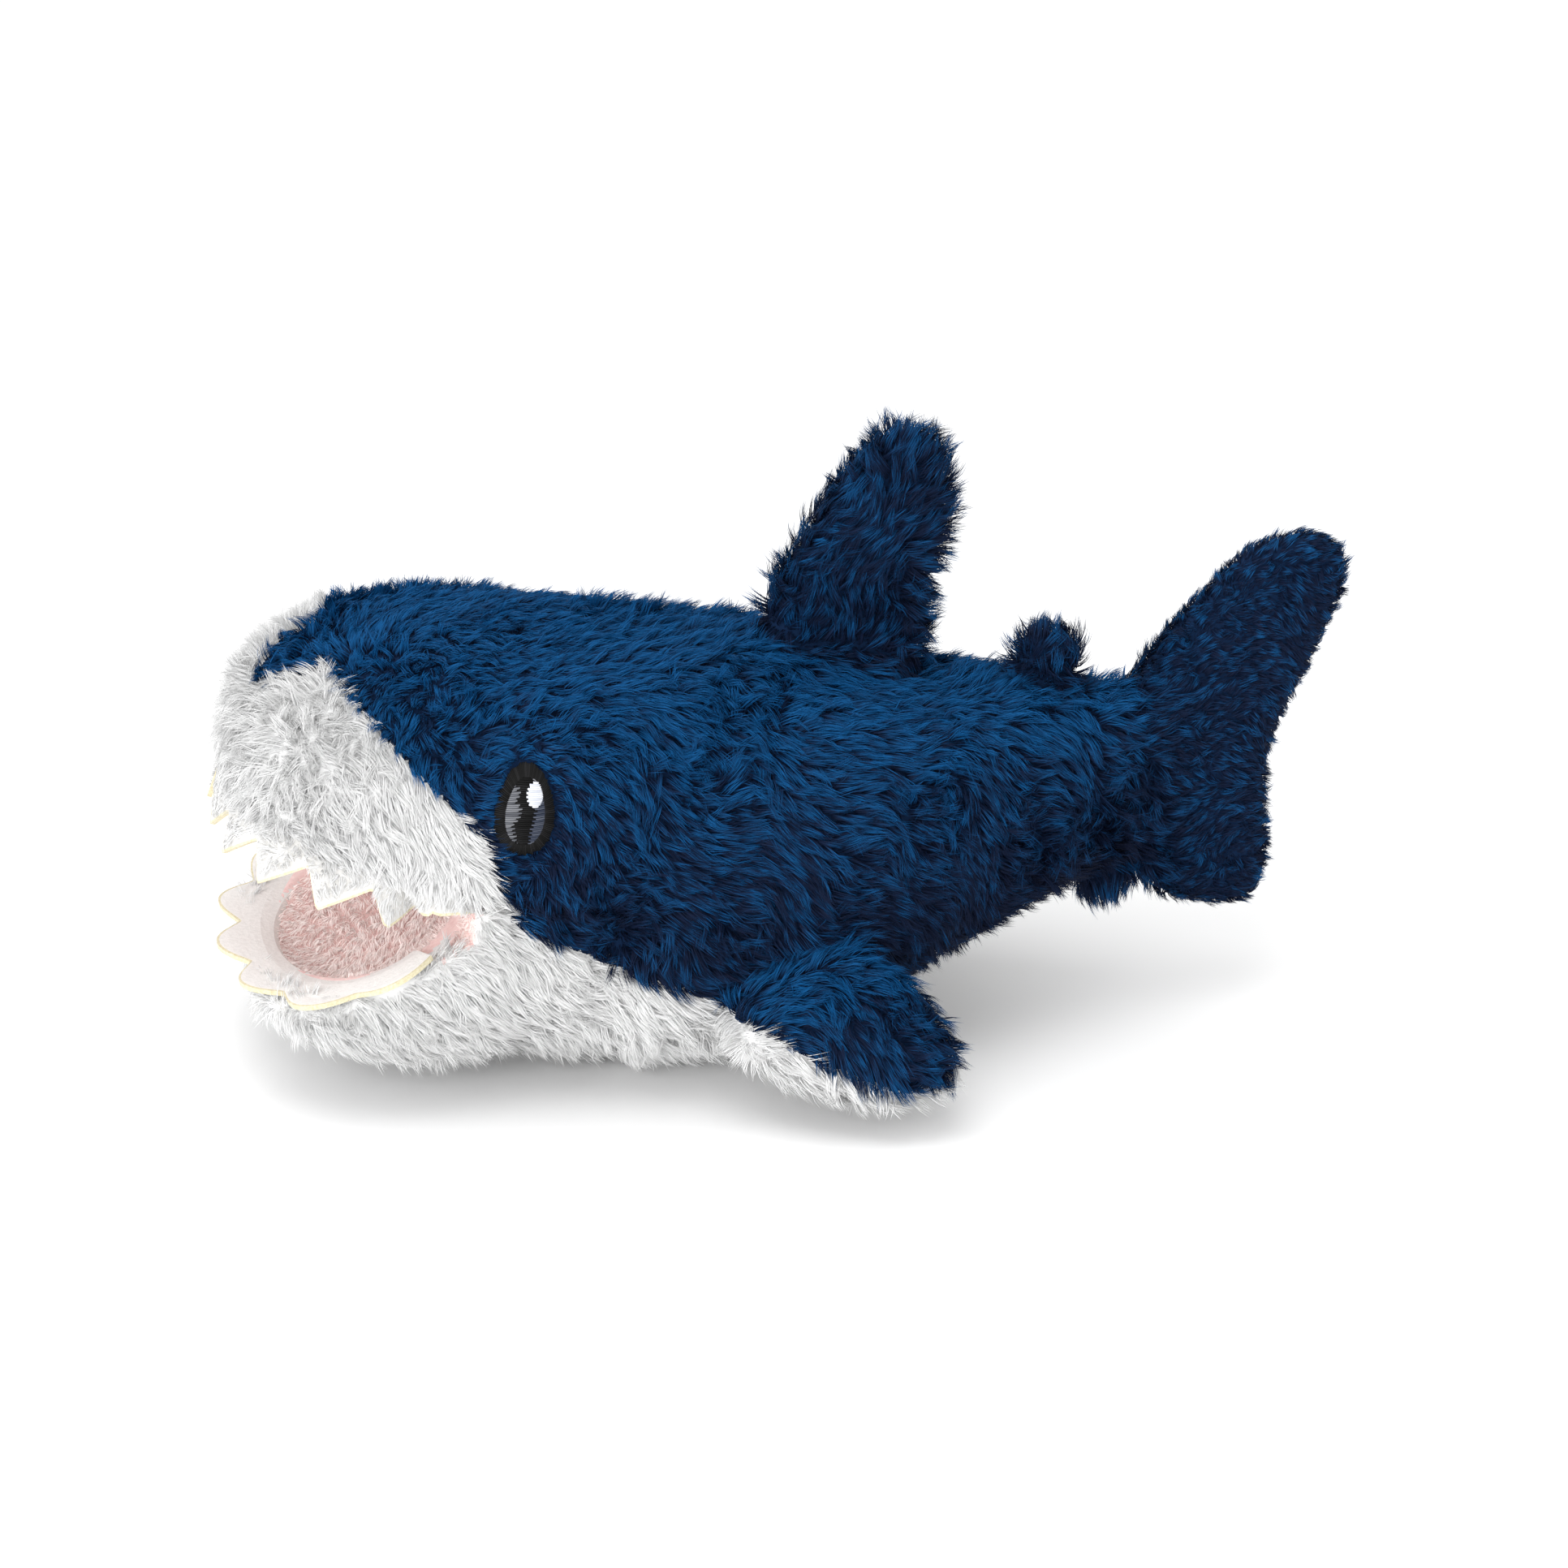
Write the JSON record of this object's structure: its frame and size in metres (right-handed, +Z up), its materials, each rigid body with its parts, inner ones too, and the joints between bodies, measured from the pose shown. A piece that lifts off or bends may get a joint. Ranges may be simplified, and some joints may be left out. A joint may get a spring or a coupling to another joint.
{
  "type": "plush shark",
  "caption": "Soft stuffed shark of long blue and white plush with an open, hinged mouth, felt-like zigzag teeth, embroidered eyes and padded fins.",
  "frame": {"origin": "bottom centre of the whole shark's box, on the surface it rests on", "axes": "+Z up, +Y towards the tail, +X towards the shark's left side"},
  "size_m": [0.146, 0.275, 0.1576],
  "materials": {
    "navy_plush": "long blue pile",
    "white_plush": "long white pile",
    "pink_lining": "short brushed pile",
    "tooth_fabric": "short pile with raw cut edges",
    "polyester_filling": "loose fibre",
    "black_thread": "satin stitch",
    "grey_thread": "satin stitch",
    "white_thread": "satin stitch"
  },
  "bodies": {
    "trunk": {"trunk_filling": "polyester_filling", "back_panel_left": "navy_plush", "back_panel_right": "navy_plush", "muzzle_panel": "white_plush", "belly_panel": "white_plush", "palate_lining": "pink_lining", "throat_lining": "pink_lining", "upper_tooth_strip": "tooth_fabric", "eye_border_left": "black_thread", "eye_iris_left": "grey_thread", "eye_pupil_left": "black_thread", "eye_highlight_left": "white_thread", "eye_border_right": "black_thread", "eye_iris_right": "grey_thread", "eye_pupil_right": "black_thread", "eye_highlight_right": "white_thread"},
    "lower_jaw": {"lower_jaw_filling": "polyester_filling", "chin_panel": "white_plush", "mouth_floor_lining": "pink_lining", "lower_tooth_strip": "tooth_fabric"},
    "dorsal_fin": {"dorsal_fin_filling": "polyester_filling", "dorsal_fin_panel_left": "navy_plush", "dorsal_fin_panel_right": "navy_plush"},
    "second_dorsal_fin": {"second_dorsal_fin_filling": "polyester_filling", "second_dorsal_fin_panel_left": "navy_plush", "second_dorsal_fin_panel_right": "navy_plush"},
    "anal_fin": {"anal_fin_filling": "polyester_filling", "anal_fin_panel_left": "navy_plush", "anal_fin_panel_right": "navy_plush"},
    "tail": {"tail_filling": "polyester_filling", "tail_panel_left": "navy_plush", "tail_panel_right": "navy_plush"},
    "pectoral_fin_left": {"pectoral_fin_left_filling": "polyester_filling", "pectoral_fin_left_panel_top": "navy_plush", "pectoral_fin_left_panel_under": "white_plush"},
    "pectoral_fin_right": {"pectoral_fin_right_filling": "polyester_filling", "pectoral_fin_right_panel_top": "navy_plush", "pectoral_fin_right_panel_under": "white_plush"}
  },
  "joints": [
    {"name": "jaw_opening", "type": "hinge", "parent": "trunk", "child": "lower_jaw", "pos_m": [0, -0.08, 0.042], "axis": [1, 0, 0], "range_deg": [-25, 8], "stiffness_Nm_per_rad": 0.05},
    {"name": "tail_swing", "type": "hinge", "parent": "trunk", "child": "tail", "pos_m": [0, 0.096, 0.068], "axis": [0, 0, 1], "range_deg": [-25, 25], "stiffness_Nm_per_rad": 0.05},
    {"name": "dorsal_fin_lean", "type": "hinge", "parent": "trunk", "child": "dorsal_fin", "pos_m": [0, -0.004, 0.11404], "axis": [0, 0.9579, -0.2871], "range_deg": [-20, 20], "stiffness_Nm_per_rad": 0.03},
    {"name": "second_dorsal_fin_lean", "type": "hinge", "parent": "trunk", "child": "second_dorsal_fin", "pos_m": [0, 0.057, 0.09356], "axis": [0, 0.9888, -0.1496], "range_deg": [-15, 15], "stiffness_Nm_per_rad": 0.01},
    {"name": "anal_fin_lean", "type": "hinge", "parent": "trunk", "child": "anal_fin", "pos_m": [0, 0.073, 0.0338], "axis": [0, 0.9639, 0.2664], "range_deg": [-15, 15], "stiffness_Nm_per_rad": 0.01},
    {"name": "pectoral_fin_left_lift", "type": "hinge", "parent": "trunk", "child": "pectoral_fin_left", "pos_m": [0.0575, -0.02, 0.0215], "axis": [0.1759, -0.955, -0.2388], "range_deg": [-5, 35], "stiffness_Nm_per_rad": 0.03},
    {"name": "pectoral_fin_right_lift", "type": "hinge", "parent": "trunk", "child": "pectoral_fin_right", "pos_m": [-0.0575, -0.02, 0.0215], "axis": [0.1759, 0.955, 0.2388], "range_deg": [-5, 35], "stiffness_Nm_per_rad": 0.03}
  ]
}
